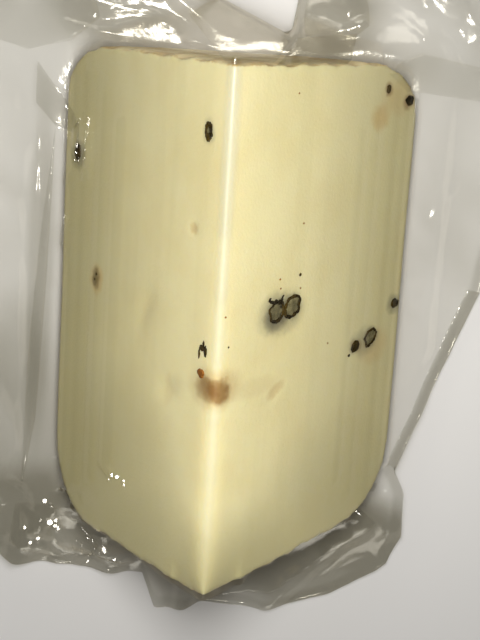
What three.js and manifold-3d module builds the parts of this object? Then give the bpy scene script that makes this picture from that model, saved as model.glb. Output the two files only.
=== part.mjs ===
// A wedge of peppered caciotta sealed in a clear bag, as one closed solid.
// Millimetres: X runs across the ridge, Y along it and Z up, with the rind on the floor.
// The pieces are worked out round the axis of the whole wheel, which is the wedge's ridge.
import * as THREE from "three";
import { mergeVertices } from "three/addons/utils/BufferGeometryUtils.js";
import Module from "manifold-3d";

const wasm = await Module();
wasm.setup();

const { degToRad, smoothstep, lerp, clamp } = THREE.MathUtils;

// The whole wheel that the wedge was cut from.
const WHEEL_RADIUS = 61;
const WHEEL_HEIGHT = 92;
const HALF_HEIGHT = WHEEL_HEIGHT / 2;
const WHEEL_SEGMENTS = 120;
// How far each rounded rim runs in from the rind, and how far down the side.
const TOP_RIM = { reach: 18, drop: 10 };
const BOTTOM_RIM = { reach: 16, drop: 15 };
const RIM_STEPS = 7;
// The lower end is not quite square to the axis: its slope from left to right, and where along the axis it begins.
const END_SLANT = { slope: 0.07, from: 20 };
const SIDE_STEPS = 6;
// Rings that the basket mould pressed into both ends, so the cut edges are scalloped.
const RIB_PITCH = 6.8;
const RIB_DEPTH = 0.65;
const RIB_STEP = RIB_PITCH / 5;

// The wedge: how far each cut face leans from straight down, and its rounded edges.
const LEFT_LEAN = degToRad(32);
const RIGHT_LEAN = degToRad(36.3);
const RIDGE_ROUND = 1.4;
const CORNER_ROUND = 2;
const ARC_STEPS = 8;
// The rind is pressed flat by this much where the wedge rests.
const REST_DEPTH = 1.6;
const FLOOR = REST_DEPTH - WHEEL_RADIUS;
// How far cutting bodies run past what they cut.
const SPARE = 3;

// Cut peppercorns: how far along the ridge, how far down the face, and their radius.
const PEPPERCORN_PROUD = 0.45;
const PEPPERCORN_SIDES = [9, 6];
const LEFT_PEPPERCORNS = [
  { along: 34.4, down: 6.5, radius: 1.8 },
  { along: 25.1, down: 54.7, radius: 1.7 },
  { along: -2.2, down: 5.5, radius: 1.3 },
  { along: -6.3, down: 5.1, radius: 0.9 },
];
const RIGHT_PEPPERCORNS = [
  { along: 3, down: 16.6, radius: 2.3 },
  { along: 3, down: 21.9, radius: 2.5 },
  { along: 5.6, down: 16, radius: 1.5 },
  { along: -6.7, down: 50.1, radius: 2.1 },
  { along: -7.6, down: 44.5, radius: 1.2 },
  { along: -1.1, down: 58.6, radius: 1.2 },
  { along: 40.9, down: 49.5, radius: 0.9 },
  { along: 38.7, down: 58.4, radius: 1.3 },
];

// Shallow dents in the left face: place, half length, half width, depth and turn.
const DENT_SIDES = [14, 10];
const DENTS = [
  { along: 0.2, down: 25.4, half: 7, wide: 3, deep: 0.5, turn: degToRad(-55) },
  { along: -12, down: 15.7, half: 5, wide: 2.2, deep: 0.5, turn: degToRad(-20) },
];

// The bag's loose margin is a thin sheet that leaves the cheese at its lower edges and falls to the floor.
const SHEET = 0.8;
const CLEAR_OF_FLOOR = 0.3;
const ATTACH_LIFT = 8.4;
const EDGE_LIFT = 1.1;
const FALL_LENGTH = 9;
const RIPPLE = { height: 0.45, pitch: 21 };
// Columns and rows of the sheet in its margins, and under the cheese.
const MARGIN_CELLS = 12;
const UNDER_CELLS = { across: 7, along: 24 };
// The sheet's margins start this far inside the cheese.
const INSIDE = 5;
// Where the bag's ends would lie if they were straight.
const STRAIGHT_ENDS = { low: -66, high: 68 };
// Where the bag's edges lie: each row is a place along the edge and how far out the edge is there.
const LEFT_EDGE = [[-66, 50], [-56, 55], [-30, 56], [20, 57], [62, 56], [70, 52]];
const RIGHT_EDGE = [
  [-72, 37], [-58, 41.2], [-50, 40.7], [-42, 40.5], [-37, 38], [-29, 41.2],
  [-21, 44.7], [-13, 48], [0, 53], [20, 56.5], [62, 57], [70, 53],
];
const TOP_EDGE = [
  [-57, 70], [-30, 66.5], [-3, 55.5], [10, 49.6], [11.6, 51.6], [13, 65], [18, 70], [57, 71],
];
const BOTTOM_EDGE = [
  [-56, 58], [-37, 63.8], [-21, 64.5], [-13, 65.5], [-10, 73.5], [0, 71.2],
  [13, 72], [27, 67.8], [37, 61.2], [41, 58],
];
// Folds of the film: each runs from one place to another, so high and so far to either side.
const FOLDS = [
  { from: [-1, 47], to: [-12, 56], height: 4, half: 5 },
  { from: [-12, 56], to: [-30, 54], height: 3, half: 4.5 },
  { from: [-29, 31], to: [-56, 46], height: 3.2, half: 7 },
  { from: [3, 47], to: [24, 52], height: 3.2, half: 3 },
  { from: [20, 52], to: [28, 70], height: 3, half: 4 },
  { from: [28, 45], to: [57, 41], height: 3, half: 5 },
  { from: [42, 38], to: [42, -12], height: 1.6, half: 3 },
  { from: [36, -46], to: [14, -70], height: 2.6, half: 4 },
  { from: [-38, 26], to: [-38, -40], height: 1.8, half: 3 },
  { from: [-33, -38], to: [-52, -46], height: 3.2, half: 5 },
  { from: [-30, -44], to: [-40, -63], height: 3.6, half: 5 },
  { from: [-22, -47], to: [-20, -64], height: 3, half: 5 },
  { from: [-2, -48], to: [-4, -72], height: 3.4, half: 4 },
];

// A geometry as a solid for cutting and joining; triangles that a pole folded flat are dropped.
function solidOf(geometry) {
  const bare = geometry.clone();
  bare.deleteAttribute("normal");
  bare.deleteAttribute("uv");
  const merged = mergeVertices(bare, 1e-4);
  const corners = [];
  for (let i = 0; i < merged.index.count; i += 3) {
    const [a, b, c] = merged.index.array.slice(i, i + 3);
    if (a !== b && b !== c && c !== a) corners.push(a, b, c);
  }
  return new wasm.Manifold(
    new wasm.Mesh({
      numProp: 3,
      vertProperties: merged.attributes.position.array,
      triVerts: new Uint32Array(corners),
    }),
  );
}

// A solid as a geometry that a mesh can hold.
function geometryOf(made) {
  const mesh = made.getMesh();
  const geometry = new THREE.BufferGeometry();
  geometry.setAttribute("position", new THREE.BufferAttribute(mesh.vertProperties, 3));
  geometry.setIndex(new THREE.BufferAttribute(mesh.triVerts, 1));
  geometry.computeVertexNormals();
  return geometry;
}

// The value at a place in a table of [place, value] rows, straight between rows.
function between(table, place) {
  const last = table.length - 1;
  if (place <= table[0][0]) return table[0][1];
  if (place >= table[last][0]) return table[last][1];
  const i = table.findIndex((row) => row[0] >= place);
  const [p0, v0] = table[i - 1];
  const [p1, v1] = table[i];
  return lerp(v0, v1, (place - p0) / (p1 - p0));
}

// How far the mould's rings sink an end at a distance from the wheel's axis.
function ribDepth(radius) {
  return (RIB_DEPTH * (1 - Math.cos((2 * Math.PI * radius) / RIB_PITCH))) / 2;
}

// Half of one end and its rim, from the axis out to the side.
function endProfile(rim) {
  const flat = WHEEL_RADIUS - rim.reach;
  const points = [];
  for (let r = 0; r < flat; r += RIB_STEP) {
    points.push(new THREE.Vector2(r, HALF_HEIGHT - ribDepth(r)));
  }
  for (let i = 0; i <= RIM_STEPS; i++) {
    const a = (i / RIM_STEPS) * (Math.PI / 2);
    const r = flat + rim.reach * Math.sin(a);
    const y = HALF_HEIGHT - rim.drop * (1 - Math.cos(a));
    points.push(new THREE.Vector2(r, y - ribDepth(r) * Math.cos(a)));
  }
  return points;
}

// The whole wheel, turned about the Y axis.
function wheel() {
  const bottom = endProfile(BOTTOM_RIM).map((p) => new THREE.Vector2(p.x, -p.y));
  const top = endProfile(TOP_RIM).reverse();
  const low = bottom[bottom.length - 1].y;
  const high = top[0].y;
  const side = [];
  for (let i = 1; i < SIDE_STEPS; i++) {
    side.push(new THREE.Vector2(WHEEL_RADIUS, lerp(low, high, i / SIDE_STEPS)));
  }
  const turned = solidOf(new THREE.LatheGeometry([...bottom, ...side, ...top], WHEEL_SEGMENTS));
  return turned.warp((point) => {
    point[1] += END_SLANT.slope * point[0] * smoothstep(-point[1], END_SLANT.from, HALF_HEIGHT);
  });
}

// Where a cut face starts to turn into the rounded edge at the rind, from the ridge.
const FACE_LENGTH = Math.sqrt((WHEEL_RADIUS - CORNER_ROUND) ** 2 - CORNER_ROUND ** 2);
const CORNER_TURN = Math.asin(CORNER_ROUND / (WHEEL_RADIUS - CORNER_ROUND));

// The wedge's section from the left face over the ridge to the right face and round the rind.
function wedgeSection() {
  const half = (LEFT_LEAN + RIGHT_LEAN) / 2;
  const skew = (RIGHT_LEAN - LEFT_LEAN) / 2;
  const deep = RIDGE_ROUND / Math.sin(half);
  const beyond = WHEEL_RADIUS + SPARE;
  const left = -Math.PI / 2 - LEFT_LEAN;
  const right = -Math.PI / 2 + RIGHT_LEAN;
  const reach = WHEEL_RADIUS - CORNER_ROUND;
  const rightTurn = right - CORNER_TURN;
  const leftTurn = left + CORNER_TURN;
  const shape = new THREE.Shape();
  shape.absarc(
    deep * Math.sin(skew), -deep * Math.cos(skew), RIDGE_ROUND,
    left - Math.PI / 2, right + Math.PI / 2, true,
  );
  shape.absarc(
    reach * Math.cos(rightTurn), reach * Math.sin(rightTurn), CORNER_ROUND,
    right + Math.PI / 2, rightTurn, true,
  );
  shape.absarc(0, 0, beyond, rightTurn - CORNER_TURN, leftTurn + CORNER_TURN, true);
  shape.absarc(
    reach * Math.cos(leftTurn), reach * Math.sin(leftTurn), CORNER_ROUND,
    leftTurn, left - Math.PI / 2, true,
  );
  return shape;
}

// A long bar of the wedge's section, along the ridge.
function wedgeBar() {
  const length = WHEEL_HEIGHT + 2 * SPARE;
  const bar = new THREE.ExtrudeGeometry(wedgeSection(), {
    depth: length,
    curveSegments: ARC_STEPS,
    bevelEnabled: false,
  });
  bar.rotateX(Math.PI / 2);
  bar.translate(0, length / 2, 0);
  return solidOf(bar);
}

// Everything below the floor, which presses the rind flat.
function floorBlock() {
  const wide = 2 * WHEEL_RADIUS;
  const block = new THREE.BoxGeometry(wide, 2 * WHEEL_HEIGHT, wide);
  block.translate(0, 0, FLOOR - wide / 2);
  return solidOf(block);
}

// The frame at a place on a cut face: along the ridge, down the face, and out of it.
// Past the flat of the face, the place runs on round the rounded edge.
function onFace(side, along, down, turn = 0, sunk = 0) {
  const lean = side < 0 ? LEFT_LEAN : RIGHT_LEAN;
  const past = Math.max(0, down - FACE_LENGTH) / CORNER_ROUND;
  const slope = lean - past;
  const out = new THREE.Vector3(side * Math.cos(slope), 0, Math.sin(slope));
  const run = new THREE.Vector3(side * Math.sin(slope), 0, -Math.cos(slope));
  const flat = new THREE.Vector3(side * Math.cos(lean), 0, Math.sin(lean));
  const place = new THREE.Vector3(side * Math.sin(lean), 0, -Math.cos(lean));
  place.multiplyScalar(Math.min(down, FACE_LENGTH));
  place.addScaledVector(flat, -CORNER_ROUND);
  place.addScaledVector(out, CORNER_ROUND - sunk);
  place.y = along;
  const frame = new THREE.Matrix4().makeBasis(run, new THREE.Vector3(0, side, 0), out);
  return frame.multiply(new THREE.Matrix4().makeRotationZ(turn)).setPosition(place);
}

// A peppercorn that stands a little proud of its face.
function peppercorn(side, { along, down, radius }) {
  const ball = new THREE.SphereGeometry(radius, ...PEPPERCORN_SIDES);
  ball.applyMatrix4(onFace(side, along, down, 0, radius - PEPPERCORN_PROUD));
  return solidOf(ball);
}

// The body that presses one dent into the left face.
function dentBody({ along, down, half, wide, deep, turn }) {
  const ball = new THREE.SphereGeometry(1, ...DENT_SIDES);
  ball.scale(half, wide, deep);
  ball.applyMatrix4(onFace(-1, along, down, turn));
  return solidOf(ball);
}

// The cut wedge with its flat rest, dents and peppercorns.
function cheese() {
  let wedge = wheel().intersect(wedgeBar()).subtract(floorBlock());
  for (const dent of DENTS) wedge = wedge.subtract(dentBody(dent));
  for (const corn of LEFT_PEPPERCORNS) wedge = wedge.add(peppercorn(-1, corn));
  for (const corn of RIGHT_PEPPERCORNS) wedge = wedge.add(peppercorn(1, corn));
  return wedge;
}

const LEFT_SIDE = -WHEEL_RADIUS * Math.sin(LEFT_LEAN);
const RIGHT_SIDE = WHEEL_RADIUS * Math.sin(RIGHT_LEAN);

// How far a place lies outside the cheese, seen from above.
function outside(x, y) {
  const across = Math.max(x - RIGHT_SIDE, LEFT_SIDE - x, 0);
  const along = Math.max(Math.abs(y) - HALF_HEIGHT, 0);
  return Math.hypot(across, along);
}

// How high one fold lifts the film at a place: a straight crest that grows along its length.
function foldLift({ from, to, height, half }, x, y) {
  const start = new THREE.Vector2(...from);
  const run = new THREE.Vector2(...to).sub(start);
  const here = new THREE.Vector2(x, y).sub(start);
  const t = clamp(here.dot(run) / run.lengthSq(), 0, 1);
  const away = here.distanceTo(run.multiplyScalar(t));
  return height * (1 - smoothstep(away, 0, half)) * lerp(0.5, 1, t);
}

// The underside of the film's margin at a place.
function sheetHeight(x, y) {
  const far = outside(x, y);
  const fall = Math.exp(-((far / FALL_LENGTH) ** 2));
  const loose = smoothstep(far, 0, FALL_LENGTH);
  const turn = (2 * Math.PI) / RIPPLE.pitch;
  const wave = Math.sin(turn * (x + y)) * Math.cos((turn * y) / 2);
  const folds = FOLDS.reduce((most, fold) => Math.max(most, foldLift(fold, x, y)), 0);
  const lift = lerp(EDGE_LIFT, ATTACH_LIFT, fall) + loose * (folds + RIPPLE.height * wave);
  return FLOOR + Math.max(CLEAR_OF_FLOOR, lift);
}

// A place on the sheet from its cell counts: even cells under the cheese and in each margin.
function spread(cell, under, low, inLow, inHigh, high) {
  if (cell <= MARGIN_CELLS) return lerp(low, inLow, cell / MARGIN_CELLS);
  const rest = cell - MARGIN_CELLS;
  if (rest <= under) return lerp(inLow, inHigh, rest / under);
  return lerp(inHigh, high, (rest - under) / MARGIN_CELLS);
}

// The bag's margin as a thin wavy sheet that passes through the cheese.
function bagSheet() {
  const { across, along } = UNDER_CELLS;
  const columns = 2 * MARGIN_CELLS + across;
  const rows = 2 * MARGIN_CELLS + along;
  const sheet = new THREE.BoxGeometry(columns, rows, 1, columns, rows, 1);
  const places = sheet.attributes.position;
  const inner = HALF_HEIGHT - INSIDE;
  for (let i = 0; i < places.count; i++) {
    const column = Math.round(places.getX(i) + columns / 2);
    const row = Math.round(places.getY(i) + rows / 2);
    const level = spread(row, along, STRAIGHT_ENDS.low, -inner, inner, STRAIGHT_ENDS.high);
    const left = -between(LEFT_EDGE, level);
    const right = between(RIGHT_EDGE, level);
    const x = spread(column, across, left, LEFT_SIDE + INSIDE, RIGHT_SIDE - INSIDE, right);
    const y = spread(row, along, -between(BOTTOM_EDGE, x), -inner, inner, between(TOP_EDGE, x));
    const z = sheetHeight(x, y) + (places.getZ(i) > 0 ? SHEET : 0);
    places.setXYZ(i, x, y, z);
  }
  return solidOf(sheet);
}

const pack = geometryOf(cheese().add(bagSheet()));
pack.computeBoundingBox();
const middle = pack.boundingBox.getCenter(new THREE.Vector3());
pack.translate(-middle.x, -middle.y, -pack.boundingBox.min.z);

const film = new THREE.MeshStandardMaterial({ color: 0xeadfae, roughness: 0.35 });
const caciottaPack = new THREE.Mesh(pack, film);
caciottaPack.name = "caciotta_pack";

const root = new THREE.Group();
root.name = "sealed_caciotta";
root.add(caciottaPack);

export default root;
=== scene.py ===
"""A wedge of peppered caciotta in its tight clear bag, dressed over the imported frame.

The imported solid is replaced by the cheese, its cut peppercorns and the film of the bag.
Shapes are worked out in millimetres round the wheel's axis, which is the wedge's ridge:
X runs across the ridge, Y along it and Z up. Meshes are then moved to the row frame in metres.
"""

import logging
import math
from dataclasses import dataclass, field
from enum import Enum

import bmesh
import bpy
from mathutils import Matrix, Vector, noise
from mathutils.bvhtree import BVHTree

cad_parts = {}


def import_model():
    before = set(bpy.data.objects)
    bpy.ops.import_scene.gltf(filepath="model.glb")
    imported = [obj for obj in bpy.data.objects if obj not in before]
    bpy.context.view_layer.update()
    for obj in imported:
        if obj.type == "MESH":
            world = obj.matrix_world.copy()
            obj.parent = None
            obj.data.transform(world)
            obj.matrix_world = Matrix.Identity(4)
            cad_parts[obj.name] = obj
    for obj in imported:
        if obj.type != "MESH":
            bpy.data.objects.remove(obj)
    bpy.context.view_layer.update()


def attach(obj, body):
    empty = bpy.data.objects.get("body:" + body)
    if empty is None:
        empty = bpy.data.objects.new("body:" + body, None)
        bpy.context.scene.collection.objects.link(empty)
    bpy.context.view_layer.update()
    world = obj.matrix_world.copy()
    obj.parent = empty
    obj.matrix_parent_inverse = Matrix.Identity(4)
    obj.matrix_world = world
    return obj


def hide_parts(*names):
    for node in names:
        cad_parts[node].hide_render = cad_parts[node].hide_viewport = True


LOG = logging.getLogger("caciotta")
MM = 0.001
PACK_NODE = "caciotta_pack"
BODY = "root"
FILM_SEED = 3

Colour = tuple[float, float, float]
Settings = dict[str, object]
Values = dict[str | int, object]


class Side(Enum):
    """The two cut faces of the wedge, by the sign of their X."""

    LEFT = -1
    RIGHT = 1


def lerp(low: float, high: float, share: float) -> float:
    """A value between two others."""
    return low + (high - low) * share


def ease(value: float, start: float, end: float) -> float:
    """A smooth rise from 0 at start to 1 at end.

    Args:
        value: The place to read.
        start: Where the rise begins.
        end: Where it is complete; it may lie below start.

    Returns:
        A share from 0 to 1.
    """
    share = min(1.0, max(0.0, (value - start) / (end - start)))
    return share * share * (3.0 - 2.0 * share)


def between(table: tuple[tuple[float, float], ...], place: float) -> float:
    """The value at a place in a table of (place, value) rows, straight between rows.

    Args:
        table: Rows in rising order of place.
        place: Where to read the table.

    Returns:
        The value there, held at both ends.
    """
    if place <= table[0][0]:
        return table[0][1]
    for (place_a, value_a), (place_b, value_b) in zip(table, table[1:]):
        if place <= place_b:
            return lerp(value_a, value_b, (place - place_a) / (place_b - place_a))
    return table[-1][1]


class Wire:
    """One output of a material's nodes, with arithmetic on its value."""

    def __init__(self, graph: "Graph", socket: bpy.types.NodeSocket) -> None:
        """Keeps the graph and the output socket."""
        self.graph = graph
        self.socket = socket

    def math(self, operation: str, first: object, second: object = 0.0) -> "Wire":
        """A Math node on two values."""
        return self.graph.node("ShaderNodeMath", {"operation": operation}, {0: first, 1: second})

    def __add__(self, other: object) -> "Wire":
        """This value plus another."""
        return self.math("ADD", self, other)

    def __radd__(self, other: object) -> "Wire":
        """Another value plus this."""
        return self.math("ADD", other, self)

    def __sub__(self, other: object) -> "Wire":
        """This value less another."""
        return self.math("SUBTRACT", self, other)

    def __rsub__(self, other: object) -> "Wire":
        """Another value less this."""
        return self.math("SUBTRACT", other, self)

    def __mul__(self, other: object) -> "Wire":
        """This value times another."""
        return self.math("MULTIPLY", self, other)

    def __rmul__(self, other: object) -> "Wire":
        """Another value times this."""
        return self.math("MULTIPLY", other, self)

    def __pow__(self, other: object) -> "Wire":
        """This value raised to a power."""
        return self.math("POWER", self, other)


class Graph:
    """The nodes of one material."""

    def __init__(self, name: str) -> None:
        """Starts an empty material.

        Args:
            name: The material's name.
        """
        self.material = bpy.data.materials.new(name)
        self.material.use_nodes = True
        self.tree = self.material.node_tree
        self.tree.nodes.clear()

    def add(self, kind: str, settings: Settings, values: Values) -> bpy.types.Node:
        """Adds any node.

        Args:
            kind: The node's type.
            settings: Its own settings, which are set first.
            values: Values or wires for its inputs, by name or number.

        Returns:
            The node.
        """
        made = self.tree.nodes.new(kind)
        for key, value in settings.items():
            setattr(made, key, value)
        for key, value in values.items():
            if isinstance(value, Wire):
                self.tree.links.new(value.socket, made.inputs[key])
            else:
                made.inputs[key].default_value = value
        return made

    def node(self, kind: str, settings: Settings, values: Values, output: str | int = 0) -> Wire:
        """Adds any node and takes one of its outputs, by name or number."""
        return Wire(self, self.add(kind, settings, values).outputs[output])

    def vector(self, operation: str, first: object, second: object, output: str | int = 0) -> Wire:
        """A Vector Math node on two vectors."""
        return self.node("ShaderNodeVectorMath", {"operation": operation}, {0: first, 1: second}, output)

    def attribute(self, name: str) -> Wire:
        """A value that the piece's own points carry."""
        return self.node("ShaderNodeAttribute", {"attribute_name": name}, {}, "Fac")

    def bump(self, height: Wire, depth: float, strength: float) -> Wire:
        """A normal roughened by a height, which is so deep in metres at full strength."""
        values = {"Strength": strength, "Distance": depth, "Height": height}
        return self.node("ShaderNodeBump", {}, values, "Normal")

    def place(self) -> Wire:
        """The place on the piece, in metres."""
        return self.node("ShaderNodeTexCoord", {}, {}, "Object")

    def noise(self, scale: float, detail: float = 3.0, rough: float = 0.55, at: Wire | None = None) -> Wire:
        """Smooth random grain from 0 to 1, with so many waves to the metre."""
        values = {"Vector": at or self.place(), "Scale": scale, "Detail": detail, "Roughness": rough}
        return self.node("ShaderNodeTexNoise", {}, values, 0)

    def rise(self, value: Wire, start: float, end: float) -> Wire:
        """A smooth rise from 0 at start to 1 at end."""
        settings = {"interpolation_type": "SMOOTHSTEP", "clamp": True}
        return self.node("ShaderNodeMapRange", settings, {0: value, 1: start, 2: end, 3: 0.0, 4: 1.0})

    def mix(self, share: Wire, low: object, high: object) -> Wire:
        """A colour between two others, each a wire or a plain colour."""
        low, high = (c if isinstance(c, Wire) else (*c, 1.0) for c in (low, high))
        return self.node("ShaderNodeMix", {"data_type": "RGBA"}, {0: share, 6: low, 7: high}, 2)

    def finish(self, shader: Wire) -> bpy.types.Material:
        """Shows a shader as the material's surface.

        Args:
            shader: The shader's wire.

        Returns:
            The finished material.
        """
        self.add("ShaderNodeOutputMaterial", {}, {"Surface": shader})
        return self.material


@dataclass(frozen=True)
class Wedge:
    """The form of the cut wedge, in millimetres."""

    radius: float = 61.0
    height: float = 92.0
    left_lean: float = math.radians(32.0)
    right_lean: float = math.radians(36.3)
    ridge_round: float = 0.9
    corner_round: float = 1.6
    top_reach: float = 18.0
    top_drop: float = 10.0
    bottom_reach: float = 16.0
    bottom_drop: float = 15.0
    rib_pitch: float = 6.8
    rib_depth: float = 0.65
    rest_depth: float = 1.6
    end_slant: float = 0.07
    slant_from: float = 20.0
    shift_y: float = 0.415

    @property
    def floor(self) -> float:
        """The height of the floor under the ridge."""
        return self.rest_depth - self.radius

    @property
    def left_side(self) -> float:
        """The X of the left cut face at the rind."""
        return -self.radius * math.sin(self.left_lean)

    @property
    def right_side(self) -> float:
        """The X of the right cut face at the rind."""
        return self.radius * math.sin(self.right_lean)

    def lean(self, side: Side) -> float:
        """How far a cut face leans from straight down."""
        return self.left_lean if side is Side.LEFT else self.right_lean

    def out(self, side: Side) -> Vector:
        """The direction straight out of a cut face."""
        lean = self.lean(side)
        return Vector((side.value * math.cos(lean), 0.0, math.sin(lean)))

    def down(self, side: Side) -> Vector:
        """The direction down a cut face, away from the ridge."""
        lean = self.lean(side)
        return Vector((side.value * math.sin(lean), 0.0, -math.cos(lean)))

    def slanted(self, x: float, y: float) -> float:
        """A place along the ridge, with the slant of the lower end."""
        return y + self.end_slant * x * ease(-y, self.slant_from, self.height / 2)

    def to_row(self) -> Matrix:
        """The matrix from millimetres round the ridge to metres in the row frame."""
        return Matrix.Scale(MM, 4) @ Matrix.Translation((0.0, self.shift_y, -self.floor))

    def stations(self, rim_steps: int, side_steps: int) -> list[tuple[float, float]]:
        """Sections along the ridge that round the rims.

        Args:
            rim_steps: Sections on each rim.
            side_steps: Sections on the straight side.

        Returns:
            The Y and the scale of each section, from the bottom end to the top end.
        """
        half = self.height / 2
        turns = [math.pi / 2 * i / rim_steps for i in range(rim_steps + 1)]
        arc = [(1 - math.cos(turn), 1 - math.sin(turn)) for turn in turns]
        low, high = self.bottom_drop - half, half - self.top_drop
        rows = [(self.bottom_drop * c - half, 1 - self.bottom_reach * s / self.radius) for c, s in arc]
        rows += [(lerp(low, high, i / side_steps), 1.0) for i in range(1, side_steps)]
        rows += [(half - self.top_drop * c, 1 - self.top_reach * s / self.radius) for c, s in reversed(arc)]
        return rows


def new_piece(name: str, mesh: bmesh.types.BMesh, wedge: Wedge) -> bpy.types.Object:
    """Makes an object of a mesh that is in millimetres round the ridge.

    Args:
        name: The piece's name.
        mesh: The mesh, which is freed.
        wedge: The wedge that carries the frame.

    Returns:
        The object, at the origin of the row frame with its place in its mesh.
    """
    bmesh.ops.transform(mesh, matrix=wedge.to_row(), verts=mesh.verts)
    data = bpy.data.meshes.new(name)
    mesh.to_mesh(data)
    mesh.free()
    data.shade_smooth()
    piece = bpy.data.objects.new(name, data)
    bpy.context.scene.collection.objects.link(piece)
    return piece


def seat(piece: bpy.types.Object) -> None:
    """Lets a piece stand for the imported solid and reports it.

    Args:
        piece: The finished piece.
    """
    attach(piece, BODY)
    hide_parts(PACK_NODE)
    LOG.info("%s: %d faces", piece.name, len(piece.data.polygons))


@dataclass(frozen=True)
class FaceMark:
    """A place on a cut face: how far along and down from the ridge's middle, its half sizes and its turn."""

    side: Side
    along: float
    down: float
    half_along: float
    half_down: float
    turn: float = field(default=0.0, kw_only=True)


@dataclass(frozen=True)
class StainAndShade(FaceMark):
    """A soft patch of colour in the paste, used both for real stains and for painted shade: its colour and
    its strength.
    """

    colour: Colour
    strength: float


GREY_GREEN = (0.17, 0.15, 0.085)
SMOKE_GREY = (0.105, 0.09, 0.055)
OLIVE = (0.19, 0.14, 0.045)
TAN = (0.56, 0.38, 0.14)
BROWN = (0.22, 0.11, 0.03)
RUST = (0.28, 0.165, 0.055)
PINK_BROWN = (0.56, 0.42, 0.19)
# Painted shade: a dull darker paste tone, laid in broad soft patches over parts of the cut faces that the
# lamps light brightly.
PAINTED_SHADE = (0.42, 0.375, 0.19)
# The first six entries are painted shade: broad soft darkening over the outer, lower and near-ridge parts of
# the cut faces. The rest are the paste's real stains and halos.
STAINS_AND_SHADE = (
    StainAndShade(Side.LEFT, -42.0, 34.0, 36.0, 34.0, PAINTED_SHADE, 0.55),
    StainAndShade(Side.LEFT, 20.0, 54.0, 60.0, 20.0, PAINTED_SHADE, 0.3),
    StainAndShade(Side.RIGHT, -44.0, 40.0, 30.0, 36.0, PAINTED_SHADE, 0.3),
    StainAndShade(Side.RIGHT, -52.0, 8.0, 24.0, 26.0, PAINTED_SHADE, 0.6),
    StainAndShade(Side.LEFT, -52.0, 4.0, 20.0, 10.0, PAINTED_SHADE, 0.4),
    StainAndShade(Side.RIGHT, 24.0, 8.0, 52.0, 20.0, PAINTED_SHADE, 0.14),
    StainAndShade(Side.RIGHT, 2.7, 18.4, 5.0, 9.0, GREY_GREEN, 0.55),
    StainAndShade(Side.RIGHT, 2.1, 17.0, 3.4, 4.8, SMOKE_GREY, 0.75),
    StainAndShade(Side.RIGHT, 3.3, 20.4, 3.0, 5.0, SMOKE_GREY, 0.55),
    StainAndShade(Side.RIGHT, -8.6, 51.0, 4.6, 7.0, PINK_BROWN, 0.6),
    StainAndShade(Side.RIGHT, -7.2, 47.6, 3.6, 6.6, GREY_GREEN, 0.45),
    StainAndShade(Side.RIGHT, 35.8, 47.0, 3.0, 4.4, TAN, 0.65),
    StainAndShade(Side.RIGHT, 39.5, 53.4, 4.2, 8.6, PINK_BROWN, 0.5),
    StainAndShade(Side.RIGHT, 38.6, 57.0, 2.0, 3.0, BROWN, 0.7),
    StainAndShade(Side.RIGHT, 40.9, 49.2, 1.6, 1.7, BROWN, 0.7),
    StainAndShade(Side.RIGHT, -1.2, 58.0, 2.6, 3.6, GREY_GREEN, 0.6),
    StainAndShade(Side.RIGHT, -7.6, 44.5, 1.9, 2.4, BROWN, 0.6),
    StainAndShade(Side.RIGHT, -6.6, 49.9, 2.4, 3.2, GREY_GREEN, 0.6),
    StainAndShade(Side.RIGHT, -8.8, 1.4, 4.4, 5.4, PINK_BROWN, 0.6),
    StainAndShade(Side.LEFT, -8.0, 2.4, 4.4, 4.4, PINK_BROWN, 0.5),
    StainAndShade(Side.RIGHT, -8.8, 1.6, 3.0, 3.7, RUST, 0.9),
    StainAndShade(Side.LEFT, -8.6, 0.8, 2.6, 2.0, RUST, 0.85),
    StainAndShade(Side.LEFT, -7.4, 3.3, 1.5, 2.0, RUST, 0.6),
    StainAndShade(Side.LEFT, -8.2, 1.9, 1.3, 1.3, BROWN, 0.7),
    StainAndShade(Side.RIGHT, -9.0, 0.8, 1.0, 1.4, BROWN, 0.55),
    StainAndShade(Side.LEFT, -10.6, 0.3, 1.6, 1.1, BROWN, 0.45),
    StainAndShade(Side.RIGHT, -8.2, 3.4, 0.8, 1.0, BROWN, 0.45),
    StainAndShade(Side.RIGHT, -9.8, 2.6, 0.7, 0.9, BROWN, 0.4),
    StainAndShade(Side.RIGHT, -9.6, 10.0, 2.4, 9.0, PINK_BROWN, 0.25),
    StainAndShade(Side.LEFT, 2.0, 44.5, 3.6, 3.4, TAN, 0.7),
    StainAndShade(Side.LEFT, 2.2, 44.8, 2.7, 2.1, OLIVE, 0.85),
    StainAndShade(Side.LEFT, 1.6, 45.2, 1.6, 1.2, OLIVE, 0.6),
    StainAndShade(Side.LEFT, 17.7, 9.9, 1.4, 1.8, TAN, 0.5),
    StainAndShade(Side.RIGHT, -11.4, 18.0, 1.4, 3.4, TAN, 0.45, turn=math.radians(25.0)),
    StainAndShade(Side.LEFT, 24.6, 54.2, 3.6, 3.6, GREY_GREEN, 0.75),
    StainAndShade(Side.LEFT, -12.0, 15.7, 3.8, 2.0, TAN, 0.15),
    StainAndShade(Side.LEFT, 34.4, 6.5, 2.8, 2.4, GREY_GREEN, 0.3),
)


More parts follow.
